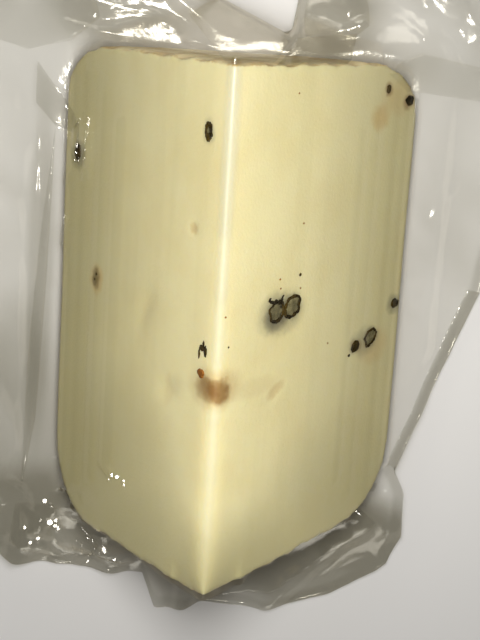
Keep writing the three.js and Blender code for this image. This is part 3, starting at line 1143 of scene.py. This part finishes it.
@dataclass
class Bag:
    """The bag's film: it clings to the cheese and runs out to a loose, folded margin."""

    wedge: Wedge
    surface: BVHTree
    finish: FilmFinish = FilmFinish()
    layers: tuple[str, str] = ("smoke", "loose")
    cling: float = 0.25
    attach_lift: float = 8.8
    edge_lift: float = 1.3
    fall_length: float = 9.0
    clear_of_floor: float = 0.35
    film_rest: float = 0.04
    layer_gap: float = 0.45
    under_cling: float = 0.2
    tight_crush: float = 0.35
    crush_smoke: float = 0.12
    ripple_height: float = 0.45
    ripple_pitch: float = 21.0
    tent_slope: float = math.tan(math.radians(80.0))
    tent_step: float = 1.5
    tent_in_across: float = 1.5
    tent_in_along: float = 0.8
    tent_reaches: tuple[float, ...] = (0.0, 2.5, 5.0, 8.0, 12.0)
    ray_start: float = 5.0
    inside: float = 1.5
    rim: float = 0.15
    margin_cells: int = 70
    under_across: int = 72
    under_along: int = 84
    crowd: float = 1.3
    ridge_crowd: float = 1.35
    straight_low: float = -66.0
    straight_high: float = 68.0
    edge_smoke: float = 0.3
    edge_band: float = 3.0
    flap_cell: float = 0.55
    flap_rim: float = 0.08
    lower_thinning: int = 2
    left_edge: tuple[tuple[float, float], ...] = (
        (-66, 50), (-56, 55), (-30, 56), (20, 57), (62, 56), (70, 52),
    )
    right_edge: tuple[tuple[float, float], ...] = (
        (-72, 37), (-58, 41.2), (-50, 40.7), (-42, 40.5), (-37, 38), (-29, 41.2),
        (-21, 44.7), (-13, 48), (0, 53), (20, 56.5), (62, 57), (70, 53),
    )
    top_edge: tuple[tuple[float, float], ...] = (
        (-57, 70), (-30, 66.5), (-3, 55.5), (10, 49.6), (11.6, 51.6), (13, 65), (18, 70), (57, 71),
    )
    bottom_edge: tuple[tuple[float, float], ...] = (
        (-56, 58), (-37, 63.8), (-21, 64.5), (-13, 65.5), (-10, 73.5), (0, 71.2),
        (13, 72), (27, 67.8), (37, 61.2), (41, 58),
    )
    folds: tuple[Fold, ...] = (
        Fold((-1, 47), (-12, 56), 4.0, 5.0),
        Fold((-12, 56), (-30, 54), 3.0, 4.5),
        Fold((-29, 31), (-56, 46), 3.2, 7.0),
        Fold((3, 47), (24, 52), 3.2, 3.0),
        Fold((20, 52), (28, 70), 3.0, 4.0),
        Fold((28, 45), (57, 41), 3.0, 5.0),
        Fold((42, 38), (42, -12), 1.6, 3.0),
        Fold((36, -46), (14, -70), 2.6, 4.0),
        Fold((-38, 26), (-38, -40), 1.8, 3.0),
        Fold((-33, -38), (-52, -46), 3.2, 5.0),
        Fold((-30, -44), (-40, -63), 3.6, 5.0),
        Fold((-22, -47), (-20, -64), 3.0, 5.0),
        Fold((-2, -48), (-4, -72), 3.4, 4.0),
        Fold((-28, -58), (-17, -60), 5.0, 4.0),
    )
    creases: tuple[Fold, ...] = (
        Fold((-26, 50.6), (-21.7, 52), 0.9, 0.9),
        Fold((-21.7, 52), (-17.6, 52.5), 0.9, 0.9),
        Fold((-17.6, 52.5), (-14.9, 52.1), 0.9, 0.9),
        Fold((-14.9, 52.1), (-11.9, 50), 0.9, 0.9),
        Fold((-11.9, 50), (-6.5, 46.5), 0.9, 0.9),
        Fold((-34, 49.7), (-24.4, 47.5), 0.8, 1.0),
        Fold((-39.8, 43.7), (-32.1, 36.4), 1.2, 1.2),
        Fold((-14.8, 56), (-14.2, 48), 0.8, 0.9),
        Fold((30.8, 41.6), (37.7, 40.2), 0.9, 1.0),
        Fold((37.7, 40.2), (50, 38), 0.9, 1.0),
        Fold((28.5, 57), (36.5, 50.7), 0.8, 1.0),
        Fold((30.5, -48), (38, -41), 0.8, 1.0),
        Fold((-37.5, 30), (-37, -34), 0.6, 0.8),
        Fold((-35.6, 20), (-35.8, -30), 0.5, 0.7),
        Fold((43, 18), (46, 22), 0.7, 1.6),
        Fold((-36.0, 40.0), (-33.4, 36.9), 0.9, 0.8),
        Fold((-33.4, 36.9), (-28.8, 30.7), 0.9, 0.8),
        Fold((-35.2, 31.6), (-33.0, 28.3), 0.9, 0.9),
        Fold((-33.0, 28.3), (-29.6, 28.6), 0.9, 0.9),
        Fold((41.5, 16), (43, 18), 0.7, 1.6),
    )
    nips: tuple[Fold, ...] = (
        Fold((-31.6, 5.0), (-30.4, 9.0), 0.8, 1.0),
        Fold((-28.8, 31.0), (-27.4, 27.0), 0.95, 0.95),
        Fold((-27.4, 27.0), (-26.8, 23.4), 0.9, 0.9),
        Fold((-31.0, -43.6), (-29.6, -42.6), 0.9, 1.0),
        Fold((-31.4, 17.0), (-30.8, 20.0), 0.9, 0.9),
    )
    crumples: tuple[Crumple, ...] = (
        Crumple(Patch(-30.0, -54.0, 26.0, 17.0, 1.9), 6.5),
        Crumple(Patch(-29.0, -54.0, 24.0, 16.0, 0.8), 2.4),
        Crumple(Patch(-46.0, 0.0, 13.0, 60.0, 1.0), 8.0),
        Crumple(Patch(-24.0, 58.0, 34.0, 16.0, 1.7), 7.0),
        Crumple(Patch(-24.0, 54.0, 24.0, 12.0, 0.5), 2.8),
        Crumple(Patch(16.0, 54.0, 16.0, 12.0, 0.9), 5.0),
        Crumple(Patch(38.0, 56.0, 26.0, 18.0, 1.6), 7.5),
        Crumple(Patch(38.0, 54.0, 24.0, 14.0, 0.35), 2.4),
        Crumple(Patch(47.0, 16.0, 12.0, 34.0, 0.9), 9.0),
        Crumple(Patch(24.0, -60.0, 24.0, 16.0, 1.0), 11.0),
        Crumple(Patch(38.8, 12.0, 3.6, 32.0, 0.45), 2.2),
        Crumple(Patch(-34.2, 10.0, 3.0, 24.0, 0.45), 2.0),
    )
    pinches: tuple[Crumple, ...] = (
        Crumple(Patch(-30.0, -42.0, 4.0, 5.0, 0.55), 1.9),
        Crumple(Patch(-22.0, -42.0, 4.5, 3.0, 0.4), 1.6),
        Crumple(Patch(-31.0, 8.0, 2.4, 4.0, 0.5), 1.8),
        Crumple(Patch(-29.0, 27.0, 3.5, 6.0, 0.6), 2.0),
        Crumple(Patch(-25.0, -47.0, 9.0, 4.0, 0.4), 2.2),
        Crumple(Patch(30.0, 43.0, 5.0, 4.0, 0.4), 2.4),
        Crumple(Patch(0.0, 46.5, 34.0, 1.6, 0.3), 2.6),
    )
    wrinkles: tuple[Wrinkle, ...] = (Wrinkle(9.0, 0.25), Wrinkle(4.2, 0.3))
    facets: tuple[Facet, ...] = (
        Facet(-32.3, -52.6, 0.6), Facet(-31.0, -52.2, 0.45), Facet(-30.7, -55.1, 0.55),
        Facet(-31.4, -54.0, 0.45), Facet(-34.9, -57.0, 0.45), Facet(-37.6, -54.4, 0.4),
        Facet(-36.4, -57.8, 0.4), Facet(-28.6, -50.4, 0.4), Facet(-20.8, -58.1, 0.65),
        Facet(-18.6, -60.2, 0.55), Facet(-17.4, -59.6, 0.4), Facet(-27.4, -61.7, 0.4),
        Facet(-26.9, -57.1, 0.45), Facet(-25.6, -58.0, 0.4), Facet(-22.8, -58.7, 0.45),
        Facet(-33.4, -47.6, 0.45),
    )
    glints: tuple[Facet, ...] = (
        Facet(-18.4, -33.7, 0.46), Facet(-17.4, -33.5, 0.44), Facet(-16.0, -33.4, 0.32),
        Facet(-15.8, -34.1, 0.3), Facet(-19.1, -35.1, 0.28),
    )
    glint_stand: float = 0.45
    facing: tuple[float, float, float] = (0.5, 56.0, 274.0)
    fine_areas: tuple[tuple[Patch, int], ...] = (
        (Patch(-17.4, -34.2, 3.4, 3.0, 1.0), 8),
        (Patch(-27.8, 27.0, 3.2, 7.0, 1.0), 3),
        (Patch(-28.0, -55.0, 13.0, 9.0, 1.0), 2),
    )
    smokes: tuple[Patch, ...] = (
        Patch(24.0, -58.0, 26.0, 20.0, 0.7),
        Patch(33.0, -52.0, 12.0, 12.0, 0.5),
        Patch(-30.0, -54.0, 32.0, 18.0, 0.5),
        Patch(-40.0, -34.0, 14.0, 34.0, 0.4),
        Patch(-36.0, 0.0, 3.5, 44.0, 0.3),
        Patch(-18.0, 54.0, 26.0, 13.0, 0.25),
        Patch(16.0, 56.0, 16.0, 20.0, 0.3),
        Patch(42.0, 54.0, 26.0, 20.0, 0.08),
        Patch(-2.0, -62.0, 12.0, 16.0, 0.5),
    )
    flaps: tuple[Flap, ...] = (
        Flap(((7.0, 45.6), (20.0, 45.6), (23.5, 50.3), (11.0, 49.5)), 0.8),
        Flap(((12.6, 49.6), (23.5, 50.3), (25.6, 52.0), (25.6, 54.4), (22.5, 67.5), (14.6, 66.0)), 0.25),
        Flap(((-9.0, 52.3), (-1.3, 45.8), (6.5, 46.0), (9.5, 49.0), (-4.5, 55.4)), 0.3),
        Flap(((4.0, -69.5), (14.3, -67.5), (35.4, -48.6), (31.0, -45.0), (3.0, -62.0)), 0.1),
        Flap(
            ((-41.0, -58.0), (-33.0, -62.0), (-24.0, -62.0), (-22.0, -57.0), (-32.0, -47.5), (-40.0, -50.0)),
            0.15,
        ),
        Flap(
            ((-38.5, -46.0), (-36.0, -30.0), (-34.6, 0.0), (-33.8, 30.0), (-36.2, 8.0), (-38.2, -20.0)), 0.3
        ),
        Flap(((-37.8, 41.5), (-38.0, 33.5), (-33.9, 29.5), (-30.0, 28.5), (-28.8, 31.0)), 0.35, 0.5),
        Flap(((38.3, -36.9), (53.2, 0.0), (50.4, 0.6), (36.2, -35.2)), 0.4, 0.3),
        Flap(((28.5, 43.8), (33.0, 40.4), (56.0, 38.0), (56.0, 44.0), (36.0, 47.5)), 0.1),
        Flap(
            ((-56.0, 47.0), (-40.0, 43.5), (-31.0, 46.0), (-26.0, 50.6), (-30.0, 65.0), (-50.0, 66.0)), 0.12
        ),
    )
    facet_lifts: list[float] = field(init=False)
    glint_lifts: list[float] = field(init=False)

    def __post_init__(self) -> None:
        """Reads the film's height under the middle of each facet, and the cheese's under each glint."""
        self.facet_lifts = [self.loose_lift(facet.x, facet.y) for facet in self.facets]
        tops = [self.top(glint.x + glint.half, glint.y)[0] for glint in self.glints]
        self.glint_lifts = [top.z + self.glint_stand for top in tops]

    @property
    def columns(self) -> int:
        """How many cells the sheet has across the ridge."""
        return 2 * self.margin_cells + self.under_across

    @property
    def rows(self) -> int:
        """How many cells the sheet has along the ridge."""
        return 2 * self.margin_cells + self.under_along

    def top(self, x: float, y: float) -> tuple[Vector | None, Vector | None]:
        """The top of the cheese at a place and the way it faces, or None beside the cheese."""
        return self.surface.ray_cast(Vector((x, y, self.ray_start)), Vector((0.0, 0.0, -1.0)))[:2]

    def outside(self, x: float, y: float) -> float:
        """How far a place lies outside the cheese, seen from above."""
        across = max(x - self.wedge.right_side, self.wedge.left_side - x, 0.0)
        return math.hypot(across, max(abs(y) - self.wedge.height / 2, 0.0))

    def loose_lift(self, x: float, y: float) -> float:
        """How high the loose margin lies over the floor, before its facets are drawn flat.

        Args:
            x: The place across the ridge.
            y: The place along the ridge.

        Returns:
            The height in millimetres.
        """
        far = self.outside(x, y)
        fall = math.exp(-((far / self.fall_length) ** 2))
        loose = ease(far, 0.0, self.fall_length)
        turn = 2.0 * math.pi / self.ripple_pitch
        wave = self.ripple_height * math.sin(turn * (x + y)) * math.cos(turn * y / 2)
        crest = max(0.0, max(fold.lift(x, y) for fold in self.folds))
        sharp = max(0.0, max(fold.lift(x, y) for fold in self.creases))
        crush = sum(patch.lift(x, y) for patch in self.crumples)
        crush += sum(wrinkle.lift(x, y) for wrinkle in self.wrinkles)
        lift = lerp(self.edge_lift, self.attach_lift, fall)
        return lift + loose * (crest + wave) + lerp(self.tight_crush, 1.0, loose) * crush + sharp

    def margin(self, x: float, y: float) -> float:
        """The height of the loose margin, with its facets.

        Args:
            x: The place across the ridge.
            y: The place along the ridge.

        Returns:
            The height in millimetres from the ridge.
        """
        lift = self.loose_lift(x, y)
        for facet, middle in zip(self.facets, self.facet_lifts):
            share = facet.share(x, y)
            if share > 0.0:
                lift = lerp(lift, middle + facet.rise(x, y, self.facing), share)
        return self.wedge.floor + max(self.clear_of_floor, lift)

    def edge_distance(self, x: float, y: float) -> float:
        """How far a place lies inside the bag's edge."""
        across = min(x + between(self.left_edge, y), between(self.right_edge, y) - x)
        return min(across, y + between(self.bottom_edge, x), between(self.top_edge, x) - y)

    def smoke(self, x: float, y: float) -> float:
        """How grey the film looks, from its layers and its crushed facets.

        Args:
            x: The place across the ridge.
            y: The place along the ridge.

        Returns:
            A share from 0 over the cheese to 1.
        """
        if self.top(x, y)[0] is not None:
            return 0.0
        share = sum(patch.share(x, y) for patch in self.smokes)
        share += self.crush_smoke * sum(patch.lift(x, y) for patch in self.crumples)
        inside = self.edge_distance(x, y)
        share += self.edge_smoke * (1.0 - ease(inside, 0.5 * self.edge_band, self.edge_band))
        return min(1.0, max(0.0, share))

    def spread(
        self, cell: float, under: int, low: float, in_low: float, in_high: float, high: float
    ) -> float:
        """A place on the sheet from a cell count, with margin cells crowded against the cheese.

        Args:
            cell: The cell's number from the low edge.
            under: How many cells lie over the cheese.
            low: The low edge.
            in_low: Where the low margin meets the cheese.
            in_high: Where the high margin meets the cheese.
            high: The high edge.

        Returns:
            The place of that cell's line.
        """
        if cell in (0, 2 * self.margin_cells + under):
            return low if cell == 0 else high
        inner = self.margin_cells - 1
        if cell <= self.margin_cells:
            return lerp(in_low, low + self.rim, (1.0 - (cell - 1) / inner) ** self.crowd)
        rest = cell - self.margin_cells
        if rest <= under:
            return lerp(in_low, in_high, rest / under)
        return lerp(in_high, high - self.rim, ((rest - under) / inner) ** self.crowd)

    def to_ridge(self, x: float, in_low: float, in_high: float) -> float:
        """Crowds the lines over the cheese towards the ridge."""
        reach = in_low if x < 0.0 else in_high
        return reach * (x / reach) ** self.ridge_crowd if in_low < x < in_high else x

    def place(self, column: float, row: float) -> tuple[float, float]:
        """The place of a grid point seen from above.

        Args:
            column: How many cells it lies from the left edge.
            row: How many cells it lies from the bottom edge.

        Returns:
            Its X and Y.
        """
        half = self.wedge.height / 2 - self.inside
        level = self.spread(row, self.under_along, self.straight_low, -half, half, self.straight_high)
        left, right = -between(self.left_edge, level), between(self.right_edge, level)
        in_left, in_right = self.wedge.left_side + self.inside, self.wedge.right_side - self.inside
        x = self.spread(column, self.under_across, left, in_left, in_right, right)
        x = self.to_ridge(x, in_left, in_right)
        low, high = -between(self.bottom_edge, x), between(self.top_edge, x)
        return x, self.spread(row, self.under_along, low, -half, half, high)

    def tent(self, x: float, y: float) -> float:
        """The height of film that slants down from the upper edges of the cheese.

        Args:
            x: The place across the ridge.
            y: The place along the ridge.

        Returns:
            The height in millimetres from the ridge.
        """
        left, right = self.wedge.left_side + self.tent_in_across, self.wedge.right_side - self.tent_in_across
        half = self.wedge.height / 2 - self.tent_in_along
        best = self.wedge.floor
        for reach in self.tent_reaches:
            near_x = min(max(x, left + reach), right - reach)
            near_y = min(max(y, reach - half), half - reach)
            hit, _ = self.top(near_x, near_y)
            if hit is not None:
                far = max(0.0, math.hypot(x - near_x, y - near_y) - self.tent_step)
                best = max(best, hit.z - self.tent_slope * far)
        return best

    def upper(self, x: float, y: float) -> tuple[Vector, float]:
        """The upper film at a place.

        Args:
            x: The place across the ridge.
            y: The place along the ridge.

        Returns:
            The film's place, and how loose it is there, from 0 where it is stuck to the cheese to 1.
        """
        hit, normal = self.top(x, y)
        margin, tent = self.margin(x, y), self.tent(x, y)
        pinch = abs(sum(patch.lift(x, y) for patch in self.pinches))
        pinch += max(0.0, max(fold.lift(x, y) for fold in self.nips))
        if hit is None or hit.z + self.cling <= max(margin, tent - self.cling):
            return Vector((x, y, max(margin, tent + self.cling + pinch))), 1.0
        place = hit + normal * (self.cling + pinch)
        for glint, middle in zip(self.glints, self.glint_lifts):
            share = glint.share(x, y)
            if share > 0.0:
                place = place.lerp(Vector((x, y, middle + glint.rise(x, y, self.facing))), share)
                pinch = max(pinch, share * self.cling)
        return place, min(1.0, pinch / self.cling)

    def lower(self, x: float, y: float, edge: bool) -> Vector:
        """The lower film at a place, which meets the upper film at the bag's edge.

        Args:
            x: The place across the ridge.
            y: The place along the ridge.
            edge: Whether the place is on the bag's edge.

        Returns:
            The film's place.
        """
        upper = self.margin(x, y)
        if edge:
            return Vector((x, y, upper))
        low = upper - self.layer_gap
        below = Vector((x, y, self.wedge.floor - self.ray_start))
        hit, _, _, _ = self.surface.ray_cast(below, Vector((0.0, 0.0, 1.0)))
        if hit is not None:
            low = min(low, hit.z - self.under_cling)
        return Vector((x, y, max(self.wedge.floor + self.film_rest, low)))

    def cell(self, vert: bmesh.types.BMVert) -> tuple[float, float]:
        """The column and row of a point of the flat grid, which runs from -1 to 1 both ways."""
        return round((vert.co.x + 1.0) / 2.0 * self.columns, 3), round((vert.co.y + 1.0) / 2.0 * self.rows, 3)

    def refine(self, mesh: bmesh.types.BMesh) -> None:
        """Splits the cells of the flat upper sheet where its forms are finest.

        Args:
            mesh: The flat sheet.
        """
        for area, cuts in self.fine_areas:
            fine = {v for v in mesh.verts if area.share(*self.place(*self.cell(v))) > 0.0}
            edges = [e for e in mesh.edges if fine.issuperset(e.verts)]
            bmesh.ops.subdivide_edges(mesh, edges=edges, cuts=cuts, use_grid_fill=True)

    def sheet(self, mesh: bmesh.types.BMesh, above: bool) -> None:
        """Adds the upper sheet, with its finest areas, or the lower one, which has fewer lines.

        Args:
            mesh: The mesh it joins.
            above: Whether it is the upper sheet, which comes first.
        """
        smoke, loose = (mesh.verts.layers.float[name] for name in self.layers)
        before = set(mesh.verts)
        bmesh.ops.create_grid(mesh, x_segments=self.columns, y_segments=self.rows, size=1.0)
        if above:
            self.refine(mesh)
        made = [v for v in mesh.verts if v not in before]
        for vert in made:
            column, row = self.cell(vert)
            x, y = self.place(column, row)
            edge = column in (0, self.columns) or row in (0, self.rows)
            vert.co, vert[loose] = self.upper(x, y) if above and not edge else (self.lower(x, y, edge), 1.0)
            vert[smoke] = self.smoke(x, y)
        if not above:
            bmesh.ops.reverse_faces(mesh, faces=list({f for v in made for f in v.link_faces}))
            inner = [v for v in made if not v.is_boundary]
            bmesh.ops.unsubdivide(mesh, verts=inner, iterations=self.lower_thinning)

    def fold_over(self, flap: Flap) -> bmesh.types.BMesh:
        """Makes one folded-over layer, trimmed to its outline and laid on the upper sheet.

        Args:
            flap: The layer.

        Returns:
            Its mesh.
        """
        mesh = bmesh.new()
        smoke, loose = (mesh.verts.layers.float.new(name) for name in self.layers)
        points = [Vector((x, y, 0.0)) for x, y in flap.corners]
        middle = sum(points, Vector()) / len(points)
        reach = max((p - middle).length for p in points)
        cells = math.ceil(2.0 * reach / self.flap_cell)
        centre = Matrix.Translation(middle)
        bmesh.ops.create_grid(mesh, x_segments=cells, y_segments=cells, size=reach, matrix=centre)
        for a, b in zip(points, points[1:] + points[:1]):
            out = (b - a).cross(Vector((0.0, 0.0, 1.0)))
            geom = mesh.verts[:] + mesh.edges[:] + mesh.faces[:]
            bmesh.ops.bisect_plane(mesh, geom=geom, dist=1e-4, plane_co=a, plane_no=out, clear_outer=True)
        for vert in mesh.verts:
            lift = min(self.flap_rim, flap.lift) if vert.is_boundary else flap.lift
            place, vert[loose] = self.upper(vert.co.x, vert.co.y)
            vert.co = place + Vector((0.0, 0.0, lift))
            vert[smoke] = flap.smoke
        return mesh

    def build(self) -> None:
        """Makes the two sheets, joined round the bag's edge, and the folded-over layers."""
        film = self.finish.material()
        both = bmesh.new()
        for name in self.layers:
            both.verts.layers.float.new(name)
        self.sheet(both, True)
        self.sheet(both, False)
        bmesh.ops.remove_doubles(both, verts=[v for v in both.verts if v.is_boundary], dist=1e-4)
        layers = {"bag_film": both}
        layers |= {f"bag_fold_{number}": self.fold_over(flap) for number, flap in enumerate(self.flaps, 1)}
        for name, mesh in layers.items():
            piece = new_piece(name, mesh, self.wedge)
            piece.data.materials.append(film)
            seat(piece)


@dataclass(frozen=True)
class Lamp:
    """A square soft light: its name, place round the ridge in millimetres, side in metres and power."""

    name: str
    place: tuple[float, float, float]
    size: float
    watts: float


@dataclass
class Studio:
    """The floor, the soft lights and the camera."""

    wedge: Wedge
    camera_place: tuple[float, float, float] = (-1.0, 57.2, 233.7)
    camera_tilt: float = math.radians(12.76)
    camera_yaw: float = math.radians(1.05)
    camera_roll: float = math.radians(-3.41)
    focal_pixels: float = 1454.0
    image_height: float = 640.0
    sensor: float = 24.0
    clip_start: float = 0.01
    floor_colour: Colour = (0.69, 0.67, 0.638)
    floor_half: float = 1.5
    floor_roughness: float = 0.6
    world_colour: Colour = (1.0, 0.99, 0.97)
    world_strength: float = 0.06
    aim: tuple[float, float, float] = (0.0, 0.0, 0.03)
    lamps: tuple[Lamp, ...] = (
        Lamp("key_high", (2.0, 55.0, 205.0), 0.036, 0.40),
        Lamp("key_low", (2.0, 38.0, 118.0), 0.026, 0.15),
        Lamp("fill_front", (60.0, -1100.0, 130.0), 0.7, 4.0),
        Lamp("fill_back", (-60.0, 1100.0, 130.0), 0.7, 4.0),
    )

    def floor(self) -> None:
        """Adds the plain pale floor."""
        mesh = bmesh.new()
        bmesh.ops.create_grid(mesh, x_segments=1, y_segments=1, size=self.floor_half)
        data = bpy.data.meshes.new("floor")
        mesh.to_mesh(data)
        mesh.free()
        graph = Graph("pale_floor")
        values = {"Base Color": (*self.floor_colour, 1.0), "Roughness": self.floor_roughness}
        data.materials.append(graph.finish(graph.node("ShaderNodeBsdfPrincipled", {}, values)))
        piece = bpy.data.objects.new("floor", data)
        bpy.context.scene.collection.objects.link(piece)

    def lights(self) -> None:
        """Adds the lamps, each facing the wedge, and the pale surroundings."""
        for lamp in self.lamps:
            data = bpy.data.lights.new(lamp.name, "AREA")
            data.size = lamp.size
            data.energy = lamp.watts
            made = bpy.data.objects.new(lamp.name, data)
            made.location = self.wedge.to_row() @ Vector(lamp.place)
            aim = Vector(self.aim) - made.location
            made.rotation_euler = aim.to_track_quat("-Z", "Y").to_euler()
            made.visible_camera = False
            bpy.context.scene.collection.objects.link(made)
        world = bpy.data.worlds.new("surroundings")
        world.use_nodes = True
        sky = world.node_tree.nodes["Background"]
        sky.inputs["Color"].default_value = (*self.world_colour, 1.0)
        sky.inputs["Strength"].default_value = self.world_strength
        bpy.context.scene.world = world

    def camera(self) -> None:
        """Adds the camera that looks down on the ridge."""
        data = bpy.data.cameras.new("camera")
        data.sensor_fit = "VERTICAL"
        data.sensor_height = self.sensor
        data.lens = self.focal_pixels / self.image_height * self.sensor
        data.clip_start = self.clip_start
        camera = bpy.data.objects.new("camera", data)
        turn = (
            Matrix.Rotation(self.camera_roll, 3, "Z")
            @ Matrix.Rotation(self.camera_yaw, 3, "Y")
            @ Matrix.Rotation(self.camera_tilt, 3, "X")
        )
        place = Matrix.Translation(self.wedge.to_row() @ Vector(self.camera_place))
        camera.matrix_world = place @ turn.transposed().to_4x4()
        bpy.context.scene.collection.objects.link(camera)
        bpy.context.scene.camera = camera

    def build(self) -> None:
        """Sets up the whole studio."""
        self.floor()
        self.lights()
        self.camera()
        bpy.context.scene.view_settings.view_transform = "Standard"


def main() -> None:
    """Builds the pieces in order and sets up the studio."""
    logging.basicConfig(level=logging.INFO, format="%(message)s")
    noise.seed_set(FILM_SEED)
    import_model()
    wedge = Wedge()
    surface = Cheese(wedge).build()
    Peppercorns(wedge, surface).build()
    Bag(wedge, surface).build()
    Studio(wedge).build()


if __name__ == "__main__":
    main()
